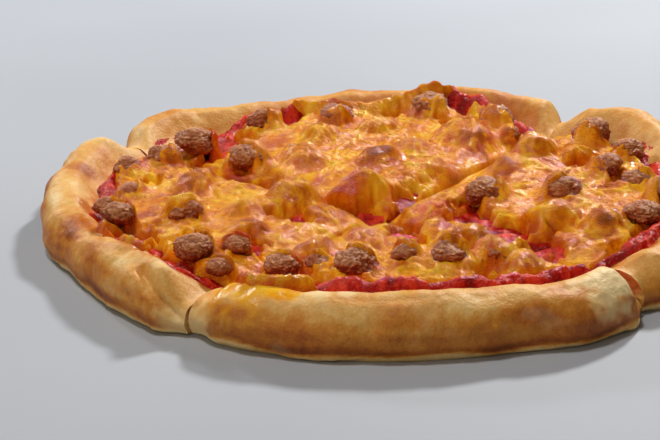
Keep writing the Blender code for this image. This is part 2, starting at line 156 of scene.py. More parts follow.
# Places where the melted cheese parted and the sauce shows: x, y and width in mm
BARE_PATCHES = {
    "left": (
        (-44, -52, 10), (-78, -42, 11), (-72, -52, 9), (-80, 12, 7), (-28, -24, 8), (-65, -70, 13),
        (-60, -45, 6), (-52, -82, 7), (-94, 18, 13), (-88, 38, 8), (-82, -50, 12), (-93, -34, 9),
        (-66, -62, 9)),
    "front": (
        (-14, -88, 7), (30, -80, 7), (-20, -42, 5), (8, -37, 8), (-31, -80, 6), (12, -52, 4),
        (-26, -86, 14), (-33, -78, 9), (-17, -93, 11)),
    "right": (
        (38, -38, 16), (48, -52, 13), (30, -26, 11), (66, 43, 8), (84, 6, 7), (28, -8, 7), (56, -42, 6),
        (62, -72, 9), (72, -62, 8), (92, 38, 13), (88, 43, 8), (72, 28, 5)),
    "back": (
        (-56, 63, 15), (-58, 48, 10), (-52, 74, 12), (-47, 60, 9), (-30, 82, 9), (6, 88, 10),
        (-3, -12, 7), (33, 77, 7), (-47, 84, 6), (34, 92, 8), (54, 74, 9), (8, -2, 5), (12, 8, 4),
        (-40, 18, 4)),
}

# Places where the sauce shines red through thin cheese: x, y and width in mm
REDDENED = (
    (-11, -7, 17), (-8, 2, 10), (-50, 28, 15), (10, 1, 12), (6, -7, 11), (-43, -34, 9), (-27, 5, 11),
    (-50, -53, 13), (22, -48, 12), (17, -20, 16), (48, -52, 16), (25, -66, 11), (3, -65, 9),
    (36, -36, 18),
)
RED_SHARE = 0.85
RED_CORE = 0.3

# Uneven surfaces and edges: the amount of each noise in mm or as a share, the length of its
# lumps in mm, and its seed
LATTICE_SIZE = 64
NOISES = {
    "dough": ((0.95, 21, 14), (0.6, 9, 11), (0.32, 4.2, 12), (0.16, 1.9, 13)),
    "crease line": ((1.3, 15, 26),),
    "crease depth": ((0.5, 12, 27),),
    "bake_and_shade": ((0.15, 16, 21), (0.09, 6, 22)),
    "flour": ((1.0, 11, 23), (0.5, 3.2, 28)),
    "grease": ((3.0, 8, 24),),
    "spot edge": ((0.45, 4, 61), (0.25, 1.8, 62)),
    "pulp": ((0.65, 3.4, 31), (0.55, 1.7, 32)),
    "sauce edge": ((1.3, 7, 33), (0.7, 2.6, 34)),
    "ridge": ((0.6, 11, 36),),
    "high ridge": ((0.3, 6, 37),),
    "wet": ((0.5, 5, 35),),
    "hump": ((0.2, 7, 45), (0.06, 3, 48)),
    "crumb cover": ((0.35, 3.6, 41), (0.18, 1.5, 49)),
    "cheese edge": ((1.6, 8, 42), (0.8, 3.4, 43)),
    "cheese reach": ((2.2, 15, 54),),
    "fraying": ((1.3, 2.1, 63),),
    "cheese thickness": ((0.38, 12, 44), (0.12, 5, 47)),
    "film": ((0.7, 4.4, 50), (0.4, 2.2, 56)),
    "cheese grain": ((0.2, 1.7, 46), (0.1, 1.0, 55)),
    "red": ((0.5, 5, 64),),
    "cut edge": ((0.7, 11, 57), (0.35, 4, 58)),
    "sauce hem": ((1.0, 6, 51),),
    "cheese hem": ((1.0, 8, 52), (0.5, 3, 53)),
}

SHARP_DEGREES = 70
TINY = 1e-12


def smooth(share):
    """A smooth step from 0 to 1."""
    share = np.clip(share, 0.0, 1.0)
    return share * share * (3.0 - 2.0 * share)


def mix(low, high, share):
    return low + (high - low) * share


def soft_max(first, second, blend):
    """The larger of two heights, with a fillet where they meet."""
    near = np.maximum(blend - np.abs(first - second), 0.0) / blend
    return np.maximum(first, second) + near * near * blend * 0.25


def bell(share):
    """1 at 0, falling smoothly on both sides."""
    return np.exp(-share ** 2)


def sector(angle, middle, half):
    """1 near the middle of a sector and 0 outside it, all in degrees."""
    away = (angle - middle + 180.0) % 360.0 - 180.0
    return np.exp(-(away / half) ** 4)


def turned(x, y, turn):
    """Coordinates along and across a direction at an angle in radians."""
    return x * math.cos(turn) + y * math.sin(turn), y * math.cos(turn) - x * math.sin(turn)


def station(column, angle):
    """One column of the rim's stations at angles in degrees, in metres."""
    angle = np.asarray(angle) % 360.0
    after = np.searchsorted(RIM_STATIONS[:, 0], angle, side="right") % len(RIM_STATIONS)
    low, high = RIM_STATIONS[after - 1], RIM_STATIONS[after]
    span = (high[..., 0] - low[..., 0]) % 360.0
    share = smooth(((angle - low[..., 0]) % 360.0) / span)
    return mix(low[..., column], high[..., column], share) * MM


@functools.lru_cache(maxsize=None)
def lattice(seed, dims):
    return np.random.RandomState(seed).uniform(-1.0, 1.0, (LATTICE_SIZE,) * dims)


def lumps(points, length, seed):
    """Smooth noise between -1 and 1 at points, with lumps of a given length."""
    cells = np.asarray(points) / length
    low = np.floor(cells).astype(int)
    part = smooth(cells - low)
    dims = cells.shape[-1]
    values = 0.0
    for corner in itertools.product((0, 1), repeat=dims):
        index = tuple((low[..., axis] + corner[axis]) % LATTICE_SIZE for axis in range(dims))
        weight = 1.0
        for axis in range(dims):
            weight = weight * (part[..., axis] if corner[axis] else 1.0 - part[..., axis])
        values = values + lattice(seed, dims)[index] * weight
    return values


def uneven(points, name):
    """One of the noises at points."""
    return sum(amount * lumps(points, length * MM, seed) for amount, length, seed in NOISES[name])


def flat(x, y):
    return np.stack((x, y), axis=-1)


def form_waves(x, y, length):
    """The same soft unevenness that the solids have."""
    places = zip((x / length).flat, (y / length).flat)
    values = [noise.noise(Vector((along, across, WAVE_PLANE))) for along, across in places]
    return WAVE_GAIN * np.array(values).reshape(x.shape)


def polar(x, y):
    return np.hypot(x, y), np.degrees(np.arctan2(y, x))


def direction(angle):
    turn = math.radians(angle)
    return np.array((math.cos(turn), math.sin(turn)))


def inward(piece, cut):
    """The flat normal of a cut that points into a slice."""
    along = direction(CUT_ANGLES[cut])
    side = 1.0 if SLICES[piece][0] == cut else -1.0
    return np.array((-along[1], along[0])) * side


def depth(piece, cut, x, y):
    """How far inside a slice's cut face points lie."""
    normal = inward(piece, cut)
    return (x - CROSSING[0]) * normal[0] + (y - CROSSING[1]) * normal[1] - CUT_GAP / 2


def press_factor(piece, x, y):
    """How much of its height a point keeps where the cuts pressed the slice."""
    rim_share = smooth((np.hypot(x, y) - RIM_START) / RIM_BLEND)
    factor = 1.0
    for cut in SLICES[piece]:
        near = 1.0 - smooth(depth(piece, cut, x, y) / PRESS_WIDTH)
        rim_press = RIM_PRESS.get((piece, cut), PRESS_SHARE)
        factor = factor * (1.0 - mix(PRESS_SHARE, rim_press, rim_share) * near)
    return factor


def settled(piece, points):
    """Where points of a slice go when its cut edges are pressed down and drawn in."""
    x, y, z = np.moveaxis(points, -1, 0)
    pull = smooth((np.hypot(x, y) - PULL_START) / PULL_LENGTH)
    moved = np.stack((x, y, z * press_factor(piece, x, y)), axis=-1)
    for cut in SLICES[piece]:
        near = 1.0 - smooth(depth(piece, cut, x, y) / PRESS_WIDTH)
        along = direction(CUT_ANGLES[cut])
        moved[..., 0] -= along[0] * CORNER_PULL * pull * near
        moved[..., 1] -= along[1] * CORNER_PULL * pull * near
    return moved


def dough_top(x, y):
    """Height of the dough's upper face inside the crest, before the cuts pressed it."""
    radius, angle = polar(x, y)
    slope = station(SLOPE, angle)
    climb = smooth((radius - station(FOOT, angle) + CREST_INSET + slope) / slope)
    uneven = DOUGH_WAVE * form_waves(x, y, DOUGH_WAVE_LENGTH)
    return FLOOR_HEIGHT + (station(CREST, angle) - FLOOR_HEIGHT) * climb + uneven


def slice_tip(piece, inset):
    """The slice's inner corner, drawn in from both cut faces."""
    first, second = SLICES[piece]
    offset = CUT_GAP / 2 + inset
    along, across = direction(CUT_ANGLES[first]), inward(piece, second)
    start = CROSSING + inward(piece, first) * offset
    travel = (offset - (start - CROSSING) @ across) / (along @ across)
    return start + along * travel


def grid_faces(rows, columns):
    """Quads of a grid whose points are numbered row by row."""
    number = np.arange(rows * columns).reshape(rows, columns)
    corners = (number[:-1, :-1], number[1:, :-1], number[1:, 1:], number[:-1, 1:])
    return np.stack(corners, axis=-1).reshape(-1, 4)


def new_object(name, data):
    obj = bpy.data.objects.new(name, data)
    bpy.context.scene.collection.objects.link(obj)
    return obj


def add_piece(name, points, faces, material, replaced, tint, end_faces=(), end_material=None):
    """A smooth mesh piece that rides on the body and stands for CAD nodes."""
    mesh = bpy.data.meshes.new(name)
    all_faces = [tuple(face) for face in faces] + [tuple(face) for face in end_faces]
    mesh.from_pydata(points.tolist(), [], all_faces)
    mesh.validate()
    mesh.materials.append(material)
    if end_material is not None:
        mesh.materials.append(end_material)
        slots = np.zeros(len(mesh.polygons), dtype=np.int32)
        slots[len(all_faces) - len(end_faces):] = 1
        mesh.polygons.foreach_set("material_index", slots)
    layer = mesh.attributes.new("tint", "FLOAT_COLOR", "POINT")
    colours = np.ones((len(points), 4), dtype=np.float32)
    colours[:, :tint.shape[1]] = tint
    layer.data.foreach_set("color", colours.ravel())
    mesh.shade_smooth()
    mesh.set_sharp_from_angle(angle=math.radians(SHARP_DEGREES))
    obj = new_object(name, mesh)
    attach(obj, "root")
    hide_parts(*replaced)
    return obj


def surface_normals(grid):
    """Unit normals of a grid of points, from its own differences."""
    along = np.gradient(grid, axis=1)
    across = np.gradient(grid, axis=0)
    normal = np.cross(across, along)
    size = np.linalg.norm(normal, axis=-1, keepdims=True)
    return normal / np.maximum(size, TINY)


# Surface of the dough: how many columns and rows of points, and how they are spread
DOUGH_COLUMNS = 290
INNER_RADIUS = 62 * MM
TIP_ROWS = 5
TOP_ROWS = 44
SIDE_ROWS = 34
LOW_ROWS = 9
UNDER_ROWS = 3
END_DENSITY = 0.35
TOP_GRADING = 0.8
RING_ROUNDS = 4

# Flank of the rim, in degrees: from the crest to below its widest place, and how far below
# the crest its waves and its own height set in; then the knee over the foot
SIDE_START = 90.0
SIDE_END = -8.0
SIDE_WAVE_FADE = 30
TOP_BLEND = 15
KNEE = 0.75

SWELL = 0.9 * MM
SWELL_WIDTH = 6.0 * MM
SWELL_FADE = 2.0 * MM
CREASE_HEIGHT = 3.3 * MM
CREASE_DEPTH = 0.75 * MM
CREASE_WIDTH = 0.8 * MM
CREASE_STRENGTH = 0.7
CREASE_FADE = 3.0 * MM
GROUND_FADE = 1.5 * MM

# Folds of the dough: where each starts and ends, its height and its half width, in mm
FOLDS = (
    ((-72, -69, 18), (-67, -85, 18), 2.6, 3.2), ((-67, -85, 18), (-62, -97, 14), 2.0, 3.0),
    ((-74, -79, 16), (-64, -102, 9), -2.0, 1.6), ((70, -91, 3), (73, -88, 4), 2.6, 3.5),
    ((37, -113, 4), (62, -100, 3), -0.8, 1.0), ((-79, -78, 5), (-76, -76, 10), -1.2, 1.6),
)

# Spots of the crust: place and half width in mm, and how baked, floury and cheesy they are
SPOTS = (
    ((-98, -36, 14), 6, 0.45, 0, 0), ((-101, 20, 17), 5, 0.4, 0, 0), ((-114, 8, 6), 9, 0.5, 0, 0),
    ((-109, 14, 12), 6, 0.3, 0, 0), ((63, -95, 15), 9, -0.4, 1, 0), ((67, -91, 16), 8, -0.4, 1, 0),
    ((-20, -104, 17), 4, -0.2, 1, 0), ((-13, -105, 17), 3, -0.2, 0.9, 0), ((-57, -95, 4), 8, -0.3, 0.8, 0),
    ((-62, -95, 5), 7, -0.3, 0.7, 0), ((-66, -76, 18), 5, -0.3, 0.5, 0), ((-40, -100, 17), 8, 0, 0, 1),
    ((-32, -103, 17), 6, 0, 0, 1), ((-49, -95, 17), 7, 0, 0, 0.9), ((6, -106, 17), 3, 0.2, 0, 0.7),
    ((16, -105, 17), 2, 0.2, 0, 0.6), ((48, 88, 17), 8, 0.2, 0, 0.15), ((57, 80, 17), 7, 0.15, 0, 0.1),
    ((36, 98, 18), 7, 0.2, 0, 0.2),
)
SPOT_CORE = 0.4

# Bake of the crust, from 0 to 1: its level and what streaks add, and the darkening of the lower flank and of
# the crease, which is partly browning and partly painted shade
BAKE = 0.34
STREAK_BAKE = 0.18
STREAK_LENGTH = 17 * MM
STREAK_HEIGHT = 2.6 * MM
STREAK_SEED = 29
FLANK_BAKE_AND_SHADE = 0.28
FLANK_TOP = 0.97
FLANK_BLEND = 0.35
CREASE_BAKE_AND_SHADE = 0.24
CREASE_BAND_LEVEL = 1.0
CREASE_BAND_WIDTH = 2.2
FOOT_PALENESS = 0.55
FOOT_PALE_LEVEL = -0.4
TINT_FADE = 4.0 * MM

FLOUR = 0.2
FLOUR_START = 0.35
FLOUR_BLEND = 0.5
GREASE_REACH = (0.5 * MM, 7.0 * MM)
GREASE_SPAN = 90 * MM


def column_shares():
    """Places of the columns between the two cuts, closer together near them."""
    even = np.linspace(0.0, 1.0, DOUGH_COLUMNS)
    return even - END_DENSITY * np.sin(math.tau * even) / math.tau


def ring_angle(piece, radius, share):
    """Angle, in degrees, of a point that divides a slice's ring between its two cut faces."""
    bounds = []
    for cut, side in zip(SLICES[piece], (-1.0, 1.0)):
        normal = inward(piece, cut)
        offset = CROSSING @ normal + CUT_GAP / 2
        turn = math.atan2(normal[1], normal[0]) + side * np.arccos(offset / radius)
        bounds.append(np.degrees(turn))
    sweep = (bounds[1] - bounds[0]) % 360.0
    return bounds[0] + sweep * share


def ring_points(piece, share, radius_of):
    """Points on rings whose radius follows the rim: their x, y and angle."""
    angle = ring_angle(piece, np.full_like(share, FOOT_RADIUS), share)
    for _ in range(RING_ROUNDS):
        angle = ring_angle(piece, radius_of(angle), share)
    radius = radius_of(angle)
    turn = np.radians(angle)
    return radius * np.cos(turn), radius * np.sin(turn), angle


def dough_rows(piece):
    """The dough's surface, row by row: from the tip over the rim and back under it."""
    share = column_shares()
    tip = slice_tip(piece, 0.0)
    rows = []

    def crest_of(angle):
        return station(FOOT, angle) - CREST_INSET

    inner_x, inner_y, _ = ring_points(piece, share, lambda angle: np.full_like(angle, INNER_RADIUS))
    for step in range(TIP_ROWS):
        part = step / TIP_ROWS
        x, y = mix(tip[0], inner_x, part), mix(tip[1], inner_y, part)
        rows.append(np.stack((x, y, dough_top(x, y)), axis=-1))
    for part in np.linspace(0.0, 1.0, TOP_ROWS) ** TOP_GRADING:
        x, y, _ = ring_points(piece, share, lambda angle: mix(INNER_RADIUS, crest_of(angle), part))
        rows.append(np.stack((x, y, dough_top(x, y)), axis=-1))
    reach = CREST_INSET + RIM_BULGE
    for degrees in np.linspace(SIDE_START, SIDE_END, SIDE_ROWS + 1)[1:]:
        turn = math.radians(degrees)
        out = reach * math.cos(turn) ** SIDE_FULLNESS
        x, y, angle = ring_points(piece, share, lambda angle: crest_of(angle) + out)
        below = SIDE_START - degrees
        wave = SIDE_WAVE * form_waves(x, y, SIDE_WAVE_LENGTH) * smooth(below / SIDE_WAVE_FADE)
        scale = 1.0 + wave / np.hypot(x, y)
        height = station(CREST, angle) * (BELLY_SHARE + (1.0 - BELLY_SHARE) * math.sin(turn))
        height = mix(dough_top(x, y), height, smooth(below / TOP_BLEND))
        rows.append(np.stack((x * scale, y * scale, height), axis=-1))
    last = rows[-1]
    foot_x, foot_y, _ = ring_points(piece, share, lambda angle: station(FOOT, angle))
    foot = np.stack((foot_x, foot_y, np.zeros_like(foot_x)), axis=-1)
    knee = mix(last, foot, KNEE)
    knee[:, :2] = last[:, :2]
    for part in np.linspace(0.0, 1.0, LOW_ROWS + 1)[1:]:
        rows.append(mix(mix(last, knee, part), mix(knee, foot, part), part))
    for part in np.linspace(1.0, 0.0, UNDER_ROWS + 1)[1:]:
        row = foot.copy()
        row[:, :2] = mix(tip, foot[:, :2], part)
        rows.append(row)
    return np.array(rows)


def crease_level(grid):
    """How far above the crease near the foot points lie, in crease widths."""
    x, y, z = np.moveaxis(grid, -1, 0)
    line = CREASE_HEIGHT + MM * uneven(flat(x, y), "crease line")
    return (z - line) / CREASE_WIDTH


def segment_distance(points, start, end):
    """Distance of points from a straight line between two places in mm."""
    start, end = np.array(start) * MM, np.array(end) * MM
    along = end - start
    share = np.clip((points - start) @ along / (along @ along), 0.0, 1.0)
    return np.linalg.norm(points - start - share[..., None] * along, axis=-1)


def dough_relief(grid, top_rows):
    """Puffs, wrinkles, folds and the crease over the foot, along the surface's normals."""
    normals = surface_normals(grid)
    relief = MM * uneven(grid, "dough")
    radius, angle = polar(grid[..., 0], grid[..., 1])
    outside = smooth((radius - station(FOOT, angle) + CREST_INSET) / CREASE_FADE)
    strength = CREASE_STRENGTH + uneven(grid, "crease depth")
    relief -= CREASE_DEPTH * strength * outside * bell(crease_level(grid))
    for start, end, rise, half in FOLDS:
        relief += rise * MM * bell(segment_distance(grid, start, end) / (half * MM))
    relief[top_rows:] = 0.0
    fade = smooth(grid[..., 2] / GROUND_FADE)
    return grid + normals * (relief * fade)[..., None]


def dough_tint(grid):
    """Where the crust is baked brown, floury, greasy and glazed with cheese, with painted shade darkening
    its lower flank and its crease.
    """
    x, y, z = np.moveaxis(grid, -1, 0)
    radius, angle = polar(x, y)
    outside = smooth((radius - station(FOOT, angle) + CREST_INSET) / TINT_FADE)
    above = crease_level(grid)
    around = np.radians(angle) * FOOT_RADIUS / STREAK_LENGTH
    streaks = lumps(flat(around, z / STREAK_HEIGHT), 1.0, STREAK_SEED)
    flank = smooth((FLANK_TOP - z / station(CREST, angle)) / FLANK_BLEND)
    # The lower flank and a band along the crease are drawn darker: partly browning, partly painted shade.
    bake_and_shade = BAKE + uneven(grid, "bake_and_shade") + outside * (STREAK_BAKE * streaks + FLANK_BAKE_AND_SHADE * flank)
    bake_and_shade += CREASE_BAKE_AND_SHADE * outside * bell((above - CREASE_BAND_LEVEL) / CREASE_BAND_WIDTH)
    bake_and_shade -= FOOT_PALENESS * outside * smooth(FOOT_PALE_LEVEL - above)
    flour = FLOUR * smooth((uneven(grid, "flour") - FLOUR_START) / FLOUR_BLEND)
    reach = mix(*GREASE_REACH, smooth(0.5 - y / GREASE_SPAN)) + MM * uneven(grid, "grease")
    grease = smooth((station(SAUCE_REACH, angle) + reach - radius) / TINT_FADE)
    glaze = np.zeros_like(bake_and_shade)
    ragged = 1.0 + uneven(grid, "spot edge")
    for place, half, brown, white, cheesy in SPOTS:
        away = np.linalg.norm(grid - np.array(place) * MM, axis=-1) / (half * MM * ragged)
        near = 1.0 - smooth(away - SPOT_CORE)
        bake_and_shade += brown * near
        flour = np.maximum(flour, white * near)
        glaze = np.maximum(glaze, cheesy * near)
    return np.stack((np.clip(bake_and_shade, 0, 1), flour, grease, glaze), axis=-1)


def bulged(piece, grid):
    """The slice with its rim swollen a little into the cuts."""
    x, y = grid[..., 0], grid[..., 1]
    rim_share = smooth((np.hypot(x, y) - RIM_START) / RIM_BLEND) * smooth(grid[..., 2] / SWELL_FADE)
    moved = grid.copy()
    for cut in SLICES[piece]:
        near = 1.0 - smooth(depth(piece, cut, x, y) / SWELL_WIDTH)
        moved[..., :2] -= (SWELL * rim_share * near)[..., None] * inward(piece, cut)
    return moved


def build_dough(piece, material, bread):
    grid = dough_rows(piece)
    top_rows = len(grid) - UNDER_ROWS
    grid = dough_relief(grid, top_rows)
    tint = dough_tint(grid)
    grid = settled(piece, bulged(piece, grid))
    rows, columns = grid.shape[:2]
    faces = grid_faces(rows, columns)
    points = grid.reshape(-1, 3)
    top_tip, low_tip = 0, (rows - 1) * columns
    faces = np.where(faces < columns, top_tip, faces)
    faces = np.where(faces >= low_tip, low_tip, faces)
    clean = [tuple(dict.fromkeys(face)) for face in faces.tolist()]
    clean = [face[::-1] for face in clean if len(face) > 2]
    between = np.arange(1, rows - 1) * columns
    near_end = [top_tip, *between, low_tip]
    far_end = [top_tip, *(between + columns - 1), low_tip]
    tidy_mesh(add_piece(
        f"crust_{piece}", points, clean, material, [f"dough_{piece}"], tint.reshape(-1, 4),
        [near_end, far_end[::-1]], bread))


def tidy_mesh(obj):
    """Drops unused points and turns all faces outwards."""
    bm = bmesh.new()
    bm.from_mesh(obj.data)
    loose = [vert for vert in bm.verts if not vert.link_faces]
    bmesh.ops.delete(bm, geom=loose, context="VERTS")
    bmesh.ops.recalc_face_normals(bm, faces=bm.faces)
    bm.to_mesh(obj.data)
    bm.free()


# Sauce and cheese sheets
SAUCE_SPACING = 0.65 * MM
CHEESE_SPACING = 0.42 * MM
SAUCE_INSET = 0.25 * MM
CHEESE_INSET = 0.5 * MM
SAUCE_MARGIN = 4.0 * MM
CHEESE_MARGIN = 5.0 * MM
LAYER_FLOOR = 2.5 * MM
GRID_REACH = 1.35
EDGE_WAVE = 0.7 * MM
EDGE_WAVE_REACH = 6.0 * MM
ROLL = 1.8 * MM
SAUCE_ROLL_SHARE = 0.6
SAUCE_BLEND = 1.4 * MM
PULP_SPAN = 1.2 * MM

# Hems of the layers: how far below the surface the outer edge ends, the height of the lower
# edge in the cuts and how much it varies, and how far it hangs out
FREE_HEM = 1.0 * MM
SAUCE_HEM = (6.2 * MM, 1.6 * MM)
SAUCE_HANG = (0.35 * MM, 0.25 * MM)
SAUCE_TUCK = 1.2 * MM
SAUCE_TUCK_DROP = 0.4 * MM
CHEESE_HEM = (8.0 * MM, 2.6 * MM)
CHEESE_HANG = (0.75 * MM, -0.5 * MM)
HANG_LIMITS = (-0.1 * MM, 1.1 * MM)
LEAST_HEM = 0.6 * MM
CHEESE_LIP = 0.3 * MM
CHEESE_TUCK = 0.5 * MM
BOTTOM_TUCK = 1.4 * MM

# Ridge of sauce pushed up at its edge
RIDGE_RISE = 1.0 * MM
RIDGE_INSET = 3.6 * MM
RIDGE_WIDTH = 2.9 * MM

# Where the ridge is high: angle and half width in degrees, and rise in mm
HIGH_RIDGES = (
    (266, 9, 4.0), (293, 20, 3.2), (318, 10, 2.0), (333, 12, 2.0), (166, 13, 2.2), (84, 18, 4.0),
    (110, 14, 3.0), (60, 8, 2.5),
)
LOW_RIDGE_ANGLE = 207
LOW_RIDGE_HALF = 22.0
LOW_RIDGE_SHARE = 0.8

# Melted shreds: how many to a slice, their length, width and height in mm, coarse and fine
STRANDS = ((420, (7, 24), (1.5, 2.8), (0.3, 0.9)), (700, (4, 15), (0.9, 1.5), (0.15, 0.45)))
STRAND_BEND = 32.0
STRAND_SEARCH = 0.6
STRAND_TAPER = 2.0 * MM
STRAND_FILM_LOSS = 0.4

# Cheese over hidden crumbs: how far it drapes for each mm of their width, how oval and, in
# degrees for each mm of x, how turned a lump is, and how much lower some are
HUMP_REACH = 0.6
HUMP_STRETCH = 0.87
HUMP_TURN = 37.0
HUMP_LOSS = 0.4
HUMP_BLEND = 1.5 * MM

# Cheese round crumbs that show: how far it drapes, where it ends on them, and its collar
CRUMB_REACH = 0.56
CRUMB_SEARCH = 1.8
COVER_BLEND = 0.45
COLLAR_RISE = 2.1 * MM
COLLAR_WIDTH = 2.0 * MM
CRUMB_BLEND = 1.6 * MM
DRAPE_POWER = 3.5
DRAPE_COVER = 1.5
FILM = 0.7 * MM
FILM_RISE = 4.5 * MM

# Edge of the cheese: how ragged and steep it is at the bare patches, and how it fades out
PATCH_RAGGED = 2.0
PATCH_STEEP = 0.7
COVER_FADE = 3.6 * MM
COVER_START = 0.3
THIN_START = 0.4 * MM
THIN_SPAN = 1.4 * MM

# Where the cheese ran thinly over the rim: angle and half width in degrees, and reach in mm
SPILLS = ((246, 7, 6.0), (213, 15, 5.0), (100, 22, 4.0))
SPILL_START = 86 * MM
SPILL_FADE = 6.0 * MM
SPILL_THINNING = 0.1


def sauce_level(x, y):
    """Thickness of the sauce over the dough, before its ragged edge, and how far inside it is."""
    radius, angle = polar(x, y)
    spot = flat(x, y)
    from_edge = station(SAUCE_REACH, angle) - radius
    inside = from_edge + MM * uneven(spot, "sauce edge")
    low_side = LOW_RIDGE_SHARE * sector(angle, LOW_RIDGE_ANGLE, LOW_RIDGE_HALF)
    rise = RIDGE_RISE * (1.0 + uneven(spot, "ridge")) * (1.0 - low_side)
    patchy = 1.0 + uneven(spot, "high ridge")
    for middle, half, height in HIGH_RIDGES:
        rise = rise + height * MM * sector(angle, middle, half) * patchy
    ridge = rise * bell((inside - RIDGE_INSET) / RIDGE_WIDTH)
    return mix(SAUCE_EDGE, SAUCE_THICKNESS, smooth(from_edge / EDGE_TAPER)) + ridge, inside


def rolled(piece, x, y, inset):
    """How far a layer's surface drops where it rolls over the cut edges."""
    drop = 0.0
    for cut in SLICES[piece]:
        near = np.clip(1.0 - (depth(piece, cut, x, y) - inset) / ROLL, 0.0, 1.0)
        drop = drop + ROLL * (1.0 - np.sqrt(1.0 - near * near))
    return drop


def sauce_surface(piece, x, y):
    """The sauce: a layer of pulp with a ridge at its edge."""
    spot = flat(x, y)
    level, inside = sauce_level(x, y)
    cover = smooth(inside / SAUCE_BLEND + 0.5)
    relief = MM * uneven(spot, "pulp")
    height = dough_top(x, y) + mix(-BURIED, level + relief, cover)
    height = height - SAUCE_ROLL_SHARE * rolled(piece, x, y, SAUCE_INSET)
    wet = 0.5 + uneven(spot, "wet")
    return height, np.stack((wet, cover, 0.5 + relief / PULP_SPAN), axis=-1)


def strand_relief(piece, x, y):
    """Melted shreds: short curved ridges that lie across each other."""
    rng = np.random.RandomState(sum(map(ord, piece)))
    low, high = flat(x, y).min(axis=0), flat(x, y).max(axis=0)
    total = np.zeros_like(x)
    for count, lengths, widths, rises in STRANDS:
        relief = np.zeros_like(x)
        for _ in range(count):
            centre = rng.uniform(low, high)
            heading = rng.uniform(0.0, math.pi)
            length, width, rise = (rng.uniform(*limits) * MM for limits in (lengths, widths, rises))
            bend = rng.uniform(-STRAND_BEND, STRAND_BEND)
            off_x, off_y = x - centre[0], y - centre[1]
            near = np.flatnonzero(np.hypot(off_x, off_y) < STRAND_SEARCH * length + width)
            along, across = turned(off_x[near], off_y[near], heading)
            across = across - bend * along * along
            round_top = np.sqrt(np.clip(1.0 - (2.0 * across / width) ** 2, 0.0, 1.0))
            taper = smooth((0.5 * length - np.abs(along)) / STRAND_TAPER)
            relief[near] = np.maximum(relief[near], rise * round_top * taper)
        total += relief
    return total


def drape(away):
    """A sheet's height over a lump: 1 on its top, 0 where it lies flat again."""
    return np.exp(-np.abs(away) ** DRAPE_POWER)


def hump_drape(piece, x, y):
    """How high the cheese stands over the crumbs that it hides."""
    wobble = 1.0 + uneven(flat(x, y), "hump")
    height = np.zeros_like(x)
    for hump_x, hump_y, width in HUMPS[piece]:
        along, across = turned(x - hump_x * MM, y - hump_y * MM, math.radians(HUMP_TURN * hump_x))
        away = np.hypot(along * HUMP_STRETCH, across / HUMP_STRETCH) / (HUMP_REACH * width * MM * wobble)
        rise = HUMP_RISE * (1.0 - HUMP_LOSS * ((hump_x * 7 + hump_y * 3) % 10) / 10)
        height = soft_max(height, rise * width * MM * drape(away), HUMP_BLEND)
    return height


def crumb_drape(piece, x, y, base, cover):
    """The cheese over and round each crumb that shows, as an unpressed height."""
    factor = press_factor(piece, x, y)
    ragged = uneven(flat(x, y), "crumb cover")
    for number, (share, side) in enumerate(COVER[piece], 1):
        name = f"crumb_{piece}_{number}"
        low, high = (np.array(corner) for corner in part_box(name))
        centre, half = (low + high) / 2, (high - low) / 2
        off_x, off_y = x - centre[0], y - centre[1]
        away = np.hypot(off_x, off_y) / half[0]
        dome = (centre[2] + half[2] * np.sqrt(np.clip(1.0 - away ** 2, 0.0, 1.0))) / factor
        toward = turned(off_x, off_y, math.radians(side))[0] / half[0]
        covered = smooth((toward + ragged - (1.0 - 2.0 * share)) / COVER_BLEND + 0.5)
        top = high[2] / factor + FILM
        sheet = base + (top - base) * drape(away / (2.0 * CRUMB_REACH))
        sheet = np.where(away < 1.0, np.maximum(sheet, dome + FILM), sheet)
        ring = bell((away - 1.0) * half[0] / COLLAR_WIDTH)
        collar = base + COLLAR_RISE * smooth(cover * DRAPE_COVER) * ring
        yield mix(collar, sheet, covered), away < CRUMB_SEARCH


def spill_reach(angle):
    """How much farther out than its stations the cheese ran, in metres."""
    return sum(farther * MM * sector(angle, middle, half) for middle, half, farther in SPILLS)


def cheese_cover(piece, x, y, spill):
    """How fully the cheese covers points: 0 beyond its edge and in the bare patches."""
    radius, angle = polar(x, y)
    spot = flat(x, y)
    ragged = MM * uneven(spot, "cheese edge")
    inside = station(CHEESE_REACH, angle) + spill - radius + ragged + MM * uneven(spot, "cheese reach")
    frayed = PATCH_RAGGED * ragged + MM * uneven(spot, "fraying")
    for patch_x, patch_y, width in BARE_PATCHES[piece]:
        away = np.hypot(x - patch_x * MM, y - patch_y * MM) - 0.5 * width * MM
        inside = np.minimum(inside, PATCH_STEEP * away + frayed)
    return smooth(inside / COVER_FADE + COVER_START)


def see_through(x, y, thickness):
    """How much the sauce shines through the cheese: where it is thin, and in the red places."""
    ragged = 1.0 + uneven(flat(x, y), "red")
    thin = 1.0 - smooth((thickness - THIN_START) / THIN_SPAN)
    for red_x, red_y, width in REDDENED:
        away = np.hypot(x - red_x * MM, y - red_y * MM) / (0.5 * width * MM * ragged)
        thin = np.maximum(thin, RED_SHARE * (1.0 - smooth(away - RED_CORE)))
    return thin


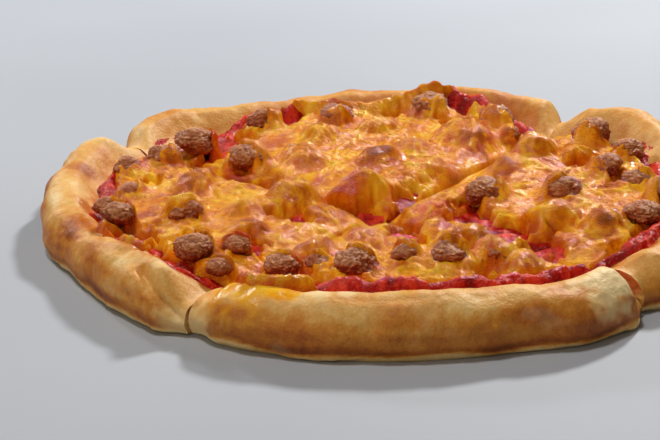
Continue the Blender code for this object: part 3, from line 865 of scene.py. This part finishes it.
def cheese_surface(piece, x, y):
    """The cheese: a coat that parts over the sauce and drapes over the crumbs."""
    radius, angle = polar(x, y)
    spot = flat(x, y)
    level, _ = sauce_level(x, y)
    spill = spill_reach(angle)
    cover = cheese_cover(piece, x, y, spill)
    thinning = SPILL_THINNING * spill / MM * smooth((radius - SPILL_START) / SPILL_FADE)
    thickness = CHEESE_THICKNESS * (1.0 + uneven(spot, "cheese thickness")) * (1.0 - thinning)
    base = dough_top(x, y) + mix(-BURIED, level + thickness, cover)
    height = base + hump_drape(piece, x, y) * smooth(cover * DRAPE_COVER)
    for draped, near in crumb_drape(piece, x, y, base, cover):
        height = np.where(near, soft_max(height, draped, CRUMB_BLEND), height)
    film = smooth((height - base) / FILM_RISE)
    strands = strand_relief(piece, x, y)
    height = height + strands * cover * (1.0 - STRAND_FILM_LOSS * film)
    height = height + MM * (film * uneven(spot, "film") + uneven(spot, "cheese grain"))
    height = height - rolled(piece, x, y, CHEESE_INSET)
    thin = see_through(x, y, thickness * cover)
    # Flanks of the humps, which the material turns deep orange: partly thin cheese, partly painted shade.
    flank = 4.0 * film * (1.0 - film)
    # The shreds' height sets painted shade between them in the material.
    return height, np.stack((thin, film, np.minimum(strands / MM, 1.0), flank), axis=-1)


def boundary_loop(faces):
    """The outer loop of a sheet of quads, in the faces' own turning sense."""
    edges = np.concatenate([faces[:, (k, (k + 1) % 4)] for k in range(4)])
    directed = {tuple(edge) for edge in edges.tolist()}
    following = {a: b for a, b in directed if (b, a) not in directed}
    start = next(iter(following))
    loop = [start]
    while following[loop[-1]] != start:
        loop.append(following[loop[-1]])
    if len(loop) != len(following):
        raise ValueError("the sheet has more than one edge loop")
    return loop


def layer_sheet(piece, spacing, inset, outer, surface, hem):
    """A closed layer: its surface on a grid along the cuts, then hem rows and a flat bottom."""
    tip = slice_tip(piece, inset)
    first, second = (direction(CUT_ANGLES[cut]) for cut in SLICES[piece])
    count = int(GRID_REACH * FOOT_RADIUS / spacing)
    steps = np.arange(count) * spacing
    s, t = np.meshgrid(steps, steps, indexing="ij")
    x = tip[0] + s * first[0] + t * second[0]
    y = tip[1] + s * first[1] + t * second[1]
    radius, angle = polar(x, y)
    faces = grid_faces(count, count)
    kept = faces[(radius < outer(angle)).ravel()[faces].all(axis=1)]
    used, kept = np.unique(kept, return_inverse=True)
    kept = kept.reshape(-1, 4)
    x, y, s, t = (values.ravel()[used] for values in (x, y, s, t))
    height, tint = surface(piece, x, y)
    points = np.stack((x, y, height), axis=-1)
    wave = np.clip(MM * uneven(flat(x, y), "cut edge"), -EDGE_WAVE, inset + EDGE_WAVE)
    for cut in SLICES[piece]:
        near = 1.0 - smooth(depth(piece, cut, x, y) / EDGE_WAVE_REACH)
        points[:, :2] -= np.outer(wave * near, inward(piece, cut))
    loop = np.array(boundary_loop(kept))
    out = np.zeros((len(loop), 2))
    on_first, on_second = t[loop] < 0.5 * spacing, s[loop] < 0.5 * spacing
    out[on_first] -= inward(piece, SLICES[piece][0])
    out[on_second] -= inward(piece, SLICES[piece][1])
    free = ~(on_first | on_second)
    rows = [points]
    tints = [tint]
    walls = []
    above = loop
    for offset, level in hem(points[loop], free):
        row = points[loop].copy()
        row[:, :2] += out * np.broadcast_to(offset, len(loop))[:, None]
        row[:, 2] = level
        below = sum(len(part) for part in rows) + np.arange(len(loop))
        rows.append(row)
        tints.append(tint[loop])
        walls.append(np.stack((above, below, np.roll(below, -1), np.roll(above, -1)), axis=-1))
        above = below
    points = settled(piece, np.concatenate(rows))
    bottom = above[::-1].tolist()
    return points, np.concatenate([kept] + walls), np.concatenate(tints), bottom


def sauce_hem(edge, free):
    """Rows below the sauce's edge: how far outside it, and how high."""
    along = uneven(edge[:, :2], "sauce hem")
    low = np.where(free, edge[:, 2] - FREE_HEM, SAUCE_HEM[0] + SAUCE_HEM[1] * along)
    out = np.where(free, 0.0, SAUCE_HANG[0] + SAUCE_HANG[1] * along)
    middle = mix(edge[:, 2], low, 0.5)
    return (out, middle), (out, low), (-SAUCE_TUCK, low - SAUCE_TUCK_DROP), (-BOTTOM_TUCK, LAYER_FLOOR)


def cheese_hem(edge, free):
    """Rows below the cheese's edge, which hangs over cuts."""
    along = uneven(edge[:, :2], "cheese hem")
    low = np.where(free, edge[:, 2] - FREE_HEM, CHEESE_HEM[0] + CHEESE_HEM[1] * along)
    low = np.minimum(low, edge[:, 2] - LEAST_HEM)
    hang = np.clip(CHEESE_HANG[0] + CHEESE_HANG[1] * along, *HANG_LIMITS)
    out = np.where(free, 0.0, hang)
    middle = mix(edge[:, 2], low, 0.55)
    return (
        (0.8 * out, middle), (out, low + CHEESE_LIP), (0.2 * out - CHEESE_TUCK, low),
        (-BOTTOM_TUCK, LAYER_FLOOR))


def sauce_end(angle):
    return station(SAUCE_REACH, angle) + SAUCE_MARGIN


def cheese_end(angle):
    return station(CHEESE_REACH, angle) + CHEESE_MARGIN + spill_reach(angle)


def build_layer(piece, name, slot, material, *sheet):
    points, faces, tint, bottom = layer_sheet(piece, *sheet)
    tidy_mesh(add_piece(
        f"{name}_{piece}", points, faces, material, [f"{slot}_{piece}"], tint, [bottom]))


# Sausage crumbs: length and height of their lumps and grains, as shares of the radius
CRUMB_LUMPS = ((1.1, 0.28), (0.6, 0.18))
CRUMB_GRAINS = ((0.36, 0.09), (0.17, 0.15), (0.09, 0.13))
LUMP_SEED = 60
GRAIN_SEED = 61
GRAIN_SPAN = 0.2
CRUMB_SUBDIVISIONS = 5

# Where in the noise each crumb lies, and the step of its own shade
FIRST_CRUMB_PLACE = 5.0
CRUMB_PLACE_STEP = 1.7
SHADE_STEP = 0.37


def build_crumb(name, number, material):
    """A crumb: a ball with lumps and grains of minced meat, fitted to its solid's box."""
    bm = bmesh.new()
    bmesh.ops.create_icosphere(bm, subdivisions=CRUMB_SUBDIVISIONS, radius=1.0)
    points = np.array([tuple(vert.co) for vert in bm.verts])
    faces = [tuple(vert.index for vert in face.verts) for face in bm.faces]
    bm.free()
    moved = points + FIRST_CRUMB_PLACE + CRUMB_PLACE_STEP * number
    swell = 1.0 + sum(amount * lumps(moved, length, LUMP_SEED) for length, amount in CRUMB_LUMPS)
    grains = sum(amount * np.abs(lumps(moved, length, GRAIN_SEED)) for length, amount in CRUMB_GRAINS)
    points = points * (swell + grains)[:, None]
    low, high = (np.array(corner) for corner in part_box(name))
    span_low, span_high = points.min(axis=0), points.max(axis=0)
    points = low + (points - span_low) / (span_high - span_low) * (high - low)
    # The height share and the grains' height in the tint set painted light on the crumb's top and painted
    # shade below it and in its crevices.
    upward = (points[:, 2] - low[2]) / (high[2] - low[2])
    own = np.full(len(points), (number * SHADE_STEP) % 1.0)
    tint = np.stack((upward, np.clip(grains / GRAIN_SPAN, 0.0, 1.0), own), axis=-1)
    add_piece(name.replace("crumb", "sausage"), points, faces, material, [name], tint)


# Materials: the colour sockets of a mix node are its share, first and second colour
MIX_INPUTS = (0, 6, 7)
MIX_RESULT = 2


def linear(code):
    """A hexadecimal screen colour as linear light."""
    values = [int(code[k:k + 2], 16) / 255 for k in (0, 2, 4)]
    return tuple(((v + 0.055) / 1.055) ** 2.4 if v > 0.04045 else v / 12.92 for v in values) + (1.0,)


class Shader:
    """A small builder for one node material."""

    def __init__(self, name):
        self.material = bpy.data.materials.new(name)
        self.material.use_nodes = True
        self.tree = self.material.node_tree
        self.principled = self.tree.nodes["Principled BSDF"]
        self.place = self.add("ShaderNodeTexCoord").outputs["Object"]
        tint = self.add("ShaderNodeAttribute", attribute_name="tint")
        split = self.add("ShaderNodeSeparateColor", {"Color": tint.outputs["Color"]})
        self.tint = [split.outputs[name] for name in ("Red", "Green", "Blue")]
        self.tint.append(tint.outputs["Alpha"])

    def add(self, kind, inputs=None, **settings):
        item = self.tree.nodes.new(kind)
        for key, value in settings.items():
            setattr(item, key, value)
        for key, value in (inputs or {}).items():
            self.feed(item.inputs[key], value)
        return item

    def feed(self, socket, value):
        if isinstance(value, bpy.types.NodeSocket):
            self.tree.links.new(value, socket)
        else:
            socket.default_value = value

    def noise(self, length, detail=2.0, distortion=0.0, roughness=0.5):
        """Noise whose lumps have a length in metres."""
        return self.add("ShaderNodeTexNoise", {
            "Vector": self.place, "Scale": 1.0 / length, "Detail": detail,
            "Distortion": distortion, "Roughness": roughness}).outputs["Fac"]

    def sum(self, first, second, factor=1.0):
        """The first value plus the second times a factor."""
        values = {0: second, 1: factor, 2: first}
        return self.add("ShaderNodeMath", values, operation="MULTIPLY_ADD").outputs[0]

    def centred(self, value):
        """Noise moved from 0 to 1 so that it lies round 0."""
        return self.sum(-0.5, value)

    def times(self, first, second):
        return self.add("ShaderNodeMath", {0: first, 1: second}, operation="MULTIPLY").outputs[0]

    def step(self, value, low, high, bottom=0.0, top=1.0):
        """A value mapped smoothly from one range to another."""
        return self.add("ShaderNodeMapRange", {
            "Value": value, "From Min": low, "From Max": high, "To Min": bottom, "To Max": top},
            interpolation_type="SMOOTHSTEP").outputs[0]

    def blend(self, share, first, second, mode="MIX"):
        item = self.add("ShaderNodeMix", data_type="RGBA", blend_type=mode)
        for number, value in zip(MIX_INPUTS, (share, first, second)):
            self.feed(item.inputs[number], value)
        return item.outputs[MIX_RESULT]

    def ramp(self, value, *stops):
        """Colours at places between 0 and 1."""
        item = self.add("ShaderNodeValToRGB", {"Fac": value})
        band = item.color_ramp.elements
        while len(band) < len(stops):
            band.new(0.5)
        for element, (place, code) in zip(band, stops):
            element.position = place
            element.color = linear(code)
        return item.outputs["Color"]

    def bump(self, height, distance, strength=1.0, below=None):
        inputs = {"Height": height, "Distance": distance, "Strength": strength}
        if below is not None:
            inputs["Normal"] = below
        return self.add("ShaderNodeBump", inputs).outputs["Normal"]

    def finish(self, colour, rough, normal=None, glow=0.0, radius=(1.0, 1.0, 1.0), scale=MM, shine=0.5):
        """Connects the looks; the glow is the share of light that goes in."""
        sockets = {
            "Base Color": colour, "Roughness": rough, "Normal": normal, "Subsurface Weight": glow,
            "Subsurface Radius": radius, "Subsurface Scale": scale, "Specular IOR Level": shine}
        for name, value in sockets.items():
            if value is not None:
                self.feed(self.principled.inputs[name], value)
        return self.material


def crust_material():
    look = Shader("baked_crust")
    # The first tint holds the bake together with the painted shade of the lower flank and the crease.
    bake_and_shade, flour, grease, glaze = look.tint
    broad = look.noise(11 * MM, 3.0)
    fine = look.noise(2.2 * MM, 3.0)
    level = look.sum(look.sum(bake_and_shade, look.centred(broad), 0.6), look.centred(fine), 0.35)
    grain = look.noise(0.8 * MM, 2.0)
    level = look.sum(level, look.centred(grain), 0.3)
    colour = look.ramp(
        level, (0.0, "F2D090"), (0.25, "E6B05C"), (0.5, "D48A2E"), (0.75, "B8641A"), (1.0, "84400C"))
    colour = look.blend(look.times(flour, 0.65), colour, linear("F6DCA6"))
    stain = look.times(grease, look.step(broad, 0.3, 0.6))
    colour = look.blend(look.times(stain, 0.6), colour, linear("C45A10"))
    cheesy = look.ramp(broad, (0.35, "FFC61E"), (0.6, "F09A10"))
    colour = look.blend(glaze, colour, cheesy)
    wet = look.sum(stain, glaze)
    rough = look.step(wet, 0.0, 1.0, 0.55, 0.22)
    normal = look.bump(grain, 0.22 * MM, 0.9)
    normal = look.bump(look.noise(3.5 * MM, 3.0), 0.5 * MM, 0.5, normal)
    return look.finish(
        colour, rough, normal, glow=0.12, radius=(1.0, 0.55, 0.3), scale=1.6 * MM, shine=0.35)


def bread_material():
    look = Shader("cut_bread")
    split = look.add("ShaderNodeSeparateXYZ", {"Vector": look.place})
    height = split.outputs["Z"]
    holes = look.add("ShaderNodeTexVoronoi", {"Vector": look.place, "Scale": 1 / (1.6 * MM)})
    pores = holes.outputs["Distance"]
    cloud = look.noise(5 * MM, 3.0)
    colour = look.ramp(cloud, (0.3, "DCA650"), (0.55, "E8BC70"), (0.8, "F0D090"))
    stained = look.step(look.sum(height, look.centred(cloud), 9 * MM), 5.5 * MM, 10 * MM)
    colour = look.blend(look.times(stained, 0.85), colour, linear("B84A12"))
    # Painted shade in the pores: each hole is drawn darker towards its middle.
    colour = look.blend(look.step(pores, 0.0, 0.35, 0.45, 0.0), colour, linear("A87038"))
    normal = look.bump(pores, 0.5 * MM, 0.8)
    return look.finish(colour, 0.65, normal, glow=0.15, radius=(1.0, 0.6, 0.35), scale=1.6 * MM)


def sauce_material():
    look = Shader("tomato_sauce")
    wet, _, relief, _ = look.tint
    pulp = look.noise(1.1 * MM, 3.0, 0.6)
    level = look.sum(look.times(pulp, 0.6), relief, 0.4)
    colour = look.ramp(level, (0.25, "8A0802"), (0.5, "BE1406"), (0.75, "EA4220"))
    normal = look.bump(pulp, 0.7 * MM, 1.0)
    rough = look.step(wet, 0.2, 0.8, 0.25, 0.45)
    return look.finish(
        colour, rough, normal, glow=0.15, radius=(1.0, 0.2, 0.08), scale=1.2 * MM, shine=0.22)


def cheese_material():
    look = Shader("melted_cheese")
    thin, film, strand, flank = look.tint
    broad = look.noise(12 * MM, 2.0)
    patch = look.noise(4.5 * MM, 3.0, 1.0)
    string = look.noise(2.0 * MM, 3.0, 2.4)
    fine = look.noise(0.9 * MM, 2.0, 1.5)
    uneven = look.sum(look.times(look.centred(patch), 0.95), look.centred(string), 0.45)
    mottled = look.step(look.noise(16 * MM, 1.0), 0.42, 0.58, 0.2, 1.0)
    level = look.sum(look.sum(0.56, look.centred(broad), 1.3), uneven, mottled)
    # Painted shade between the shreds: the cheese is drawn darker where they are low and lighter on their
    # ridges.
    level = look.sum(level, strand, -0.22)
    level = look.sum(level, film, 0.12)
    colour = look.ramp(
        level, (0.2, "FFCA26"), (0.4, "F8B018"), (0.55, "EA9808"), (0.72, "CE7206"), (0.95, "964E08"))
    # The flanks of the humps turn deep orange: partly thin cheese over the crumbs, partly painted shade.
    flank_thin_and_shade = look.times(flank, look.step(patch, 0.4, 0.6, 0.0, 0.5))
    colour = look.blend(flank_thin_and_shade, colour, linear("DC5A00"))
    thin_part = look.times(thin, look.step(patch, 0.3, 0.6, 0.55, 1.0))
    colour = look.blend(look.times(thin_part, 0.8), colour, linear("CC3400"))
    rough = look.step(patch, 0.35, 0.65, 0.06, 0.14)
    normal = look.bump(fine, 0.12 * MM, 0.8)
    normal = look.bump(string, 0.45 * MM, 1.0, normal)
    return look.finish(
        colour, rough, normal, glow=0.15, radius=(1.0, 0.4, 0.04), scale=1.2 * MM, shine=0.28)


def sausage_material():
    look = Shader("browned_sausage")
    upward, grain, own, _ = look.tint
    meal = look.noise(1.0 * MM, 3.0)
    # Painted light and shade: the lower part of each crumb takes dark red-browns and the top lighter browns,
    # and raised grains are drawn lighter than the crevices between them.
    level = look.sum(look.times(meal, 0.5), grain, 0.45)
    shaded_low_colour = look.ramp(level, (0.15, "4A1206"), (0.5, "8C3414"), (0.9, "BC6030"))
    lit_top_colour = look.ramp(level, (0.15, "5C2A14"), (0.4, "A05E36"), (0.6, "C08052"), (0.9, "DCAE7E"))
    cloud = look.sum(upward, look.centred(look.noise(3.5 * MM, 2.0)), 0.9)
    colour = look.blend(look.step(cloud, 0.35, 0.75), shaded_low_colour, lit_top_colour)
    stain = look.times(look.step(look.noise(4.0 * MM, 2.0), 0.5, 0.62), own)
    colour = look.blend(look.times(stain, 0.7), colour, linear("A8521A"))
    normal = look.bump(meal, 0.35 * MM, 0.9)
    return look.finish(
        colour, 0.58, normal, glow=0.1, radius=(1.0, 0.4, 0.25), scale=1.0 * MM, shine=0.35)


def floor_material():
    look = Shader("pale_floor")
    cloud = look.noise(0.25, 2.0)
    colour = look.ramp(cloud, (0.3, "A9B1BD"), (0.7, "B3BAC6"))
    return look.finish(colour, 0.7)


# Camera, floor and world
FOCAL_PIXELS = 2000.0
IMAGE_WIDTH = 660
SENSOR = 36.0
CAMERA_PLACE = Vector((-17.1, -637.8, 227.7)) * MM
CAMERA_PITCH = 19.416
CAMERA_ROLL = 0.73
FLOOR_HALF = 3.0
FLOOR_PARTS = 8
WORLD_COLOUR = (1.0, 0.90, 0.76, 1.0)
WORLD_STRENGTH = 0.10

# Lights: name, place and size in metres, power in watts, and colour
LIGHTS = (
    ("key", (0.40, 0.85, 0.75), 0.14, 12.0, (1.0, 0.97, 0.92)),
    ("side", (-0.55, 0.75, 0.45), 0.12, 2.5, (1.0, 0.98, 0.95)),
    ("overhead", (-0.25, -0.15, 1.1), 0.22, 4.8, (1.0, 0.95, 0.88)),
    ("fill", (-0.6, -0.8, 0.5), 0.9, 1.8, (1.0, 0.86, 0.68)),
)


def add_camera():
    data = bpy.data.cameras.new("camera")
    data.sensor_width = SENSOR
    data.lens = FOCAL_PIXELS / IMAGE_WIDTH * SENSOR
    camera = new_object("camera", data)
    pitch, roll = math.radians(CAMERA_PITCH), math.radians(CAMERA_ROLL)
    right = Vector((1.0, 0.0, 0.0))
    forward = Vector((0.0, math.cos(pitch), -math.sin(pitch)))
    up = right.cross(forward)
    rolled_right = right * math.cos(roll) - up * math.sin(roll)
    rolled_up = right * math.sin(roll) + up * math.cos(roll)
    matrix = Matrix((rolled_right, rolled_up, -forward)).transposed().to_4x4()
    matrix.translation = CAMERA_PLACE
    camera.matrix_world = matrix
    bpy.context.scene.camera = camera


def add_light(name, place, size, energy, colour):
    data = bpy.data.lights.new(name, "AREA")
    data.shape = "DISK"
    data.size = size
    data.energy = energy
    data.color = colour
    light = new_object(name, data)
    light.location = place
    light.rotation_euler = (-Vector(place)).to_track_quat("-Z", "Y").to_euler()


def add_stage():
    bm = bmesh.new()
    bmesh.ops.create_grid(bm, x_segments=FLOOR_PARTS, y_segments=FLOOR_PARTS, size=FLOOR_HALF)
    mesh = bpy.data.meshes.new("floor")
    bm.to_mesh(mesh)
    bm.free()
    mesh.materials.append(floor_material())
    floor = new_object("floor", mesh)
    floor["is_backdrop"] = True
    world = bpy.data.worlds.new("studio")
    world.use_nodes = True
    background = world.node_tree.nodes["Background"]
    background.inputs["Color"].default_value = WORLD_COLOUR
    background.inputs["Strength"].default_value = WORLD_STRENGTH
    bpy.context.scene.world = world
    bpy.context.scene.view_settings.view_transform = "Standard"
    for light in LIGHTS:
        add_light(*light)


def main():
    add_camera()
    add_stage()
    crust, bread = crust_material(), bread_material()
    sauce, cheese, sausage = sauce_material(), cheese_material(), sausage_material()
    for piece in SLICES:
        build_dough(piece, crust, bread)
        build_layer(
            piece, "tomato", "sauce", sauce, SAUCE_SPACING, SAUCE_INSET, sauce_end, sauce_surface, sauce_hem)
        build_layer(
            piece, "melt", "cheese", cheese, CHEESE_SPACING, CHEESE_INSET, cheese_end, cheese_surface,
            cheese_hem)
    names = [f"crumb_{piece}_{k + 1}" for piece in COVER for k in range(len(COVER[piece]))]
    for number, name in enumerate(names):
        build_crumb(name, number, sausage)


main()
boxes = {"cad": CAD_BOX, "visual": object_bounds()}
{key: [list(corner) for corner in box] for key, box in boxes.items()}
